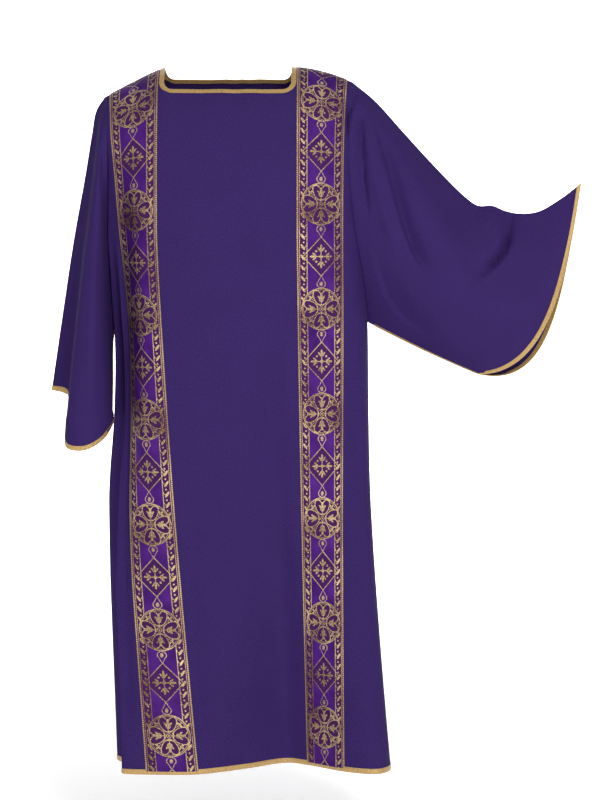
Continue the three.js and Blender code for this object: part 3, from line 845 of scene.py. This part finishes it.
def new_group(name, inputs, outputs):
    tree = bpy.data.node_groups.new(name, "ShaderNodeTree")
    for label, value in inputs.items():
        socket = tree.interface.new_socket(label, in_out="INPUT", socket_type="NodeSocketFloat")
        socket.default_value = value
    for label in outputs:
        tree.interface.new_socket(label, in_out="OUTPUT", socket_type="NodeSocketFloat")
    entry = tree.nodes.new("NodeGroupInput")
    leave = tree.nodes.new("NodeGroupOutput")
    wires = {label: Wire(tree, entry.outputs[label]) for label in inputs}
    return tree, wires, leave


def close_group(tree, leave, results):
    for label, wire in results.items():
        tree.links.new(wire.socket, leave.inputs[label])


def noise_in(tree, across, along, scale, detail=2.0, rough=0.5):
    join = tree.nodes.new("ShaderNodeCombineXYZ")
    feed(tree, across, join.inputs["X"])
    feed(tree, along, join.inputs["Y"])
    node = tree.nodes.new("ShaderNodeTexNoise")
    node.noise_dimensions = "2D"
    node.inputs["Scale"].default_value = scale
    node.inputs["Detail"].default_value = detail
    node.inputs["Roughness"].default_value = rough
    tree.links.new(join.outputs[0], node.inputs["Vector"])
    return Wire(tree, node.outputs[0])


def weave_group():
    """Plain weave: threads over and under, slubs along the warp and slow mottling. All in mm."""
    names = {"Across": 0.0, "Along": 0.0, "Pitch": 0.6}
    tree, wire, leave = new_group("plain_weave", names, ["Threads", "Slubs", "Mottle"])
    turn = wire["Pitch"].math("POWER", -1.0) * float(np.pi)
    warp = (wire["Across"] * turn).math("SINE")
    weft = (wire["Along"] * turn).math("SINE")
    threads = (warp * weft).size().math("SQRT")
    slubs = noise_in(tree, wire["Across"] * 1.6, wire["Along"] * 0.12, 1.0, 3.0, 0.6)
    mottle = noise_in(tree, wire["Across"], wire["Along"], 0.011, 3.0, 0.55)
    close_group(tree, leave, {"Threads": threads, "Slubs": slubs, "Mottle": mottle})
    return tree


def stitch_group():
    """A row of machine stitches along a seam. Reach is the distance from the row, in mm."""
    names = {"Along": 0.0, "Reach": 0.0, "Length": 2.6}
    tree, wire, leave = new_group("stitch_row", names, ["Thread", "Dent"])
    part = (wire["Along"] / wire["Length"]).math("FRACT")
    thread = wire["Reach"].size().below(0.28, 0.2) * (part - 0.5).size().below(0.36, 0.08)
    dent = wire["Reach"].size().below(0.7, 1.2)
    close_group(tree, leave, {"Thread": thread, "Dent": dent})
    return tree


def medallion(x, y):
    """Four petals in a ring: gold figures and their ground, about the middle of the ring."""
    ax, ay = x.size(), y.size()
    reach = distance(x, y)
    p, q = most(ax, ay), least(ax, ay)
    ring = most(reach.near(36.6, 0.9), reach.near(33.9, 0.45))
    lobe = oval(p, q, (20.4, 6.3), (14.2, 7.6), 25)
    outline = lobe.near(1.0, 0.10, 0.03) * (p - q * 0.2).math("GREATER_THAN", 4.5)
    heart = outline * lobe.below(1.2, 0.03)
    spear = oval(p, q, (22.4, 0.0), (6.8, 2.3))
    side_leaf = oval(p, q, (20.0, 3.9), (4.4, 1.7), 40)
    heel_leaf = oval(p, q, (14.8, 2.4), (3.2, 1.3), 36)
    leaf = least(spear, side_leaf, heel_leaf)
    veins = (q * 2.4 - p * 0.9).math("SINE").math("MULTIPLY_ADD", 1.6, 1.9, clamp=True)
    bright = leaf.below(1.0, 0.12) * veins
    stem = q.below(0.6) * p.near(11.5, 6.5)
    d, e = (p + q) * 0.7071, (p - q) * 0.7071
    e = e.size()
    sprig = most(oval(d, e, (30.0, 0.0), (3.0, 1.7)).below(1.0, 0.12),
                 oval(d, e, (27.6, 3.2), (2.4, 1.4), 50).below(1.0, 0.12),
                 e.below(0.5) * d.near(24.5, 4.0))
    eye = most(reach.near(3.9, 0.6), reach.below(1.7))
    gold = most(ring, heart, bright, stem, sprig, eye)
    return gold, reach.below(37.6)


def diamond(x, y):
    """A diamond of gold line with a cross of four lilies, about the middle of the diamond."""
    ax, ay = x.size(), y.size()
    edge = ax * (1 / 34.0) + ay * (1 / 34.5)
    line = edge.near(1.0, 0.030, 0.012)
    p, q = most(ax, ay), least(ax, ay)
    petal = oval(p, q, (15.6, 0.0), (5.6, 2.0)).below(1.0, 0.1)
    curl = oval(p, q, (13.4, 4.3), (3.6, 1.5), 38).below(1.0, 0.12)
    bar = p.near(10.0, 0.8) * q.below(3.4)
    stem = q.below(0.9) * p.below(11.0)
    middle = distance(x, y).below(3.1)
    dots = distance(p - 9.2, q - 9.2).below(2.0)
    gold = most(line, petal, curl, bar, stem, middle, dots)
    return gold, edge.below(1.0, 0.02)


def galloon_group():
    """The woven figures of the band: a medallion and a diamond in turn, between two guards."""
    names = {"Across": 0.0, "Along": 0.0}
    tree, wire, leave = new_group("galloon_figures", names, ["Gold", "Dark", "Edge", "Rib"])
    x = wire["Across"]
    y = wire["Along"].repeat(GALLOON_REPEAT * 1000)
    other = (wire["Along"] + GALLOON_REPEAT * 500).repeat(GALLOON_REPEAT * 1000)
    ax, ay, beyond = x.size(), y.size(), other.size()
    round_gold, round_ground = medallion(x, y)
    square_gold, square_ground = diamond(x, other)
    inner = ax.below(33.0)
    square_gold = square_gold * inner
    square_ground = square_ground * inner

    round_end = oval(ax, beyond, (0.0, 48.6), (8.0, 6.8)).near(1.0, 0.11, 0.04)
    round_end = round_end * beyond.math("GREATER_THAN", 44.4)
    point_end = (ax - (beyond - 34.0) * 0.56).near(0.0, 0.75) * beyond.near(39.5, 5.2)
    drop = most(round_end, point_end)
    seed = oval(ax, beyond, (0.0, 48.6), (3.0, 3.9)).below(1.0, 0.15)

    step = wire["Along"].repeat(GALLOON_REPEAT * 100)
    comma = oval(ax, step, (34.0, -1.8), (6.4, 2.1), 54).below(1.0, 0.12)
    dot = distance(ax - 32.4, step - 6.6).below(1.6)
    hook = oval(ax, step, (31.6, 1.2), (4.2, 3.4)).near(1.0, 0.15, 0.08) * (step - 1.2).below(0.9)
    guard = most(comma, dot, hook, ax.near(26.3, 0.75), ax.near(40.0, 0.6)) * ax.near(33.2, 7.8)
    free = round_ground.math("SUBTRACT", 1.0) * -1.0
    guard = guard * free
    channel = most(drop, seed) * free
    beads = (wire["Along"] * 1.9).math("SINE").math("MULTIPLY_ADD", 1.1, 1.15, clamp=True)
    edge = ax.near(43.6, 1.3) * beads
    gold = most(round_gold, square_gold, guard, channel, edge)
    dark = most(round_ground, square_ground * 0.85, ax.near(35.8, 9.2))
    rib = (wire["Along"] * 7.5).math("SINE")
    close_group(tree, leave, {"Gold": gold, "Dark": dark, "Edge": edge, "Rib": rib})
    return tree


def colour_slot(mix_node, label):
    return [s for s in mix_node.inputs if s.name == label and s.type == "RGBA"][0]


class Cloth:
    """A material whose first nodes are a Principled shader and the piece's own place in the cut."""

    def __init__(self, name, **settings):
        self.material = bpy.data.materials.new(name)
        self.material.use_nodes = True
        self.tree = self.material.node_tree
        self.shader = self.tree.nodes["Principled BSDF"]
        for label, value in settings.items():
            self.shader.inputs[label.replace("_", " ")].default_value = value
        place = self.tree.nodes.new("ShaderNodeUVMap")
        place.uv_map = "cut"
        split = self.tree.nodes.new("ShaderNodeSeparateXYZ")
        self.tree.links.new(place.outputs[0], split.inputs[0])
        self.across = Wire(self.tree, split.outputs["X"]) * 1000
        self.along = Wire(self.tree, split.outputs["Y"]) * 1000

    def group(self, tree, **inputs):
        node = self.tree.nodes.new("ShaderNodeGroup")
        node.node_tree = tree
        for label, value in inputs.items():
            feed(self.tree, value, node.inputs[label])
        return {socket.name: Wire(self.tree, socket) for socket in node.outputs}

    def mix(self, part, first, second):
        node = self.tree.nodes.new("ShaderNodeMix")
        node.data_type = "RGBA"
        feed(self.tree, part, node.inputs["Factor"])
        for value, slot in ((first, colour_slot(node, "A")), (second, colour_slot(node, "B"))):
            if isinstance(value, Wire):
                feed(self.tree, value, slot)
            else:
                slot.default_value = (*value, 1)
        return Wire(self.tree, [s for s in node.outputs if s.type == "RGBA"][0])

    def set(self, label, wire):
        self.tree.links.new(wire.socket, self.shader.inputs[label])

    def bump(self, height, distance_mm, strength=1.0):
        node = self.tree.nodes.new("ShaderNodeBump")
        node.inputs["Strength"].default_value = strength
        node.inputs["Distance"].default_value = distance_mm * MM
        feed(self.tree, height, node.inputs["Height"])
        self.tree.links.new(node.outputs[0], self.shader.inputs["Normal"])


WEAVE = weave_group()
STITCHES = stitch_group()
FIGURES = galloon_group()


def purple_cloth():
    cloth = Cloth("purple_cloth", Roughness=0.86, Specular_IOR_Level=0.05, Sheen_Weight=0.015,
                  Sheen_Roughness=0.45, Sheen_Tint=(0.42, 0.28, 0.75, 1))
    weave = cloth.group(WEAVE, Across=cloth.across, Along=cloth.along)
    tone = (weave["Mottle"] - 0.5) * 0.9 + 0.5
    colour = cloth.mix(tone, (0.0328, 0.0155, 0.096), (0.0415, 0.0208, 0.123))
    fleck = weave["Slubs"].math("MULTIPLY_ADD", 3.0, -1.35, clamp=True) * 0.5
    colour = cloth.mix(fleck, colour, (0.052, 0.027, 0.152))
    grain = noise_in(cloth.tree, cloth.across * 0.8, cloth.along * 0.8, 0.55, 2.0, 0.7)
    light = (grain - 0.46).math("MULTIPLY_ADD", 3.2, 0.0, clamp=True) * 0.55
    colour = cloth.mix(light, colour, (0.060, 0.031, 0.172))
    shade = (grain - 0.54).math("MULTIPLY_ADD", -3.2, 0.0, clamp=True) * 0.45
    colour = cloth.mix(shade, colour, (0.018, 0.008, 0.060))
    # Painted shade: the cloth is darkened in the grooves between the threads, where shade would fall.
    gap = (weave["Threads"] * -0.35 + 0.35)
    colour = cloth.mix(gap, colour, (0.016, 0.008, 0.05))
    cloth.set("Base Color", colour)
    cloth.set("Roughness", weave["Slubs"] * 0.16 + 0.78)
    cloth.bump(weave["Threads"] + weave["Slubs"] * 0.6, 0.16, 0.55)
    return cloth.material


def galloon_cloth():
    cloth = Cloth("woven_galloon", Roughness=0.5, Specular_IOR_Level=0.08)
    figures = cloth.group(FIGURES, Across=cloth.across, Along=cloth.along)
    weave = cloth.group(WEAVE, Across=cloth.across, Along=cloth.along, Pitch=0.45)
    # Painted glints: fine noise that lightens and darkens the gold threads' colour in place of the light
    # they catch.
    painted_glints = noise_in(cloth.tree, cloth.across * 0.62, cloth.along * 0.45, 1.0, 4.0, 0.8)
    # Painted sheen: broad noise that lightens and darkens the violet ground in patches, in place of the
    # silk's sheen under light.
    painted_sheen = noise_in(cloth.tree, cloth.across, cloth.along, 0.03, 2.0, 0.5)
    violet = cloth.mix((painted_sheen - 0.5) * 1.6 + 0.5, (0.040, 0.0055, 0.112), (0.082, 0.015, 0.205))
    ground = cloth.mix(figures["Dark"] * 0.8, violet, (0.050, 0.011, 0.060))
    # Painted highlight patches: broad noise that lightens the gold in patches where light would catch the
    # floats. With the fine noise above, it paints the gold from dark brown to bright gold.
    painted_highlight_patches = noise_in(cloth.tree, cloth.across, cloth.along, 0.012, 2.0, 0.5)
    painted_glints_and_highlights = (painted_glints - 0.5) * 4.4 + (painted_highlight_patches - 0.5) * 2.0 + 0.40
    gold = cloth.mix(painted_glints_and_highlights.math("MAXIMUM", 0.0).math("MINIMUM", 1.0), (0.15, 0.078, 0.024),
                     (0.90, 0.66, 0.34))
    gold = cloth.mix(figures["Edge"] * 0.35, gold, (0.90, 0.66, 0.31))
    thread = weave["Threads"] * 0.35 + 0.65
    cover = figures["Gold"] * thread
    colour = cloth.mix(cover, ground, gold)
    seam = cloth.group(STITCHES, Along=cloth.along, Reach=cloth.across.size() - 42.6)
    colour = cloth.mix(seam["Thread"] * 0.8, colour, (0.30, 0.19, 0.07))
    cloth.set("Base Color", colour)
    cloth.set("Metallic", cover * 0.6)
    cloth.set("Roughness", cover * -0.2 + 0.58)
    height = figures["Gold"] * 1.0 + figures["Rib"] * 0.22 + weave["Threads"] * 0.3 - seam["Dent"] * 0.5
    cloth.bump(height, 0.28, 0.7)
    return cloth.material


def gold_satin():
    cloth = Cloth("gold_satin", Roughness=0.34, Specular_IOR_Level=0.5, Metallic=0.25)
    twill = ((cloth.across + cloth.along * 0.012) * 9.0).math("SINE")
    streak = noise_in(cloth.tree, cloth.across * 0.25, cloth.along * 0.02, 1.0, 3.0, 0.6)
    colour = cloth.mix((streak - 0.5) * 2.2 + 0.5, (0.34, 0.190, 0.055), (0.66, 0.44, 0.17))
    seam = cloth.group(STITCHES, Along=cloth.across, Reach=cloth.along * 0.03 - 1.6)
    colour = cloth.mix(seam["Thread"] * 0.75, colour, (0.27, 0.165, 0.06))
    cloth.set("Base Color", colour)
    cloth.set("Roughness", streak * 0.3 + 0.2)
    cloth.bump(twill * 0.25 + streak * 1.4 - seam["Dent"] * 0.6, 0.25, 0.6)
    return cloth.material


PURPLE = purple_cloth()
BROCADE = galloon_cloth()
GOLD = gold_satin()

# ------------------------------------------------------------------ assembly
PIECES = {
    "front": (cloth_piece("front", front_panel, ["sides", "top"]), PURPLE, "purple_cloth", "front_panel"),
    "back": (cloth_piece("back", back_panel, ["sides", "top"]), PURPLE, "purple_cloth", "back_panel"),
    "left_sleeve": (cloth_piece("left_sleeve", left_sleeve, ["top"]), PURPLE, "purple_cloth", "sleeve_left"),
    "right_sleeve": (cloth_piece("right_sleeve", right_sleeve, ["top"]), PURPLE, "purple_cloth",
                     "sleeve_right"),
}
for side_name, side in (("left", 1), ("right", -1)):
    for face_name, grid in (("front", front_panel), ("back", back_panel)):
        piece = galloon_piece(f"{side_name}_galloon_{face_name}", grid, side)
        PIECES[piece.name] = (piece, BROCADE, "galloon", f"galloon_{side_name}_{face_name}")
BINDINGS = {
    "neck_bias": ("neck_binding", both_faces(neck_edge), True),
    "hem_bias": ("hem_binding", both_faces(hem_edge), True),
    "left_cuff_bias": ("cuff_binding_left", cuff_edge(left_sleeve), False),
    "right_cuff_bias": ("cuff_binding_right", cuff_edge(right_sleeve), False),
}
for name, (node, edge, closed) in BINDINGS.items():
    PIECES[name] = (binding_piece(name, *edge, closed), GOLD, "gold_binding", node)
for side_name, grid in (("left", left_sleeve), ("right", right_sleeve)):
    name = f"{side_name}_underarm_bias"
    PIECES[name] = (underarm_piece(name, grid), GOLD, "gold_binding", f"underarm_binding_{side_name}")

for piece, material, slot, node in PIECES.values():
    piece.data.materials.append(material)
    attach(piece, "root")
    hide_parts(node)
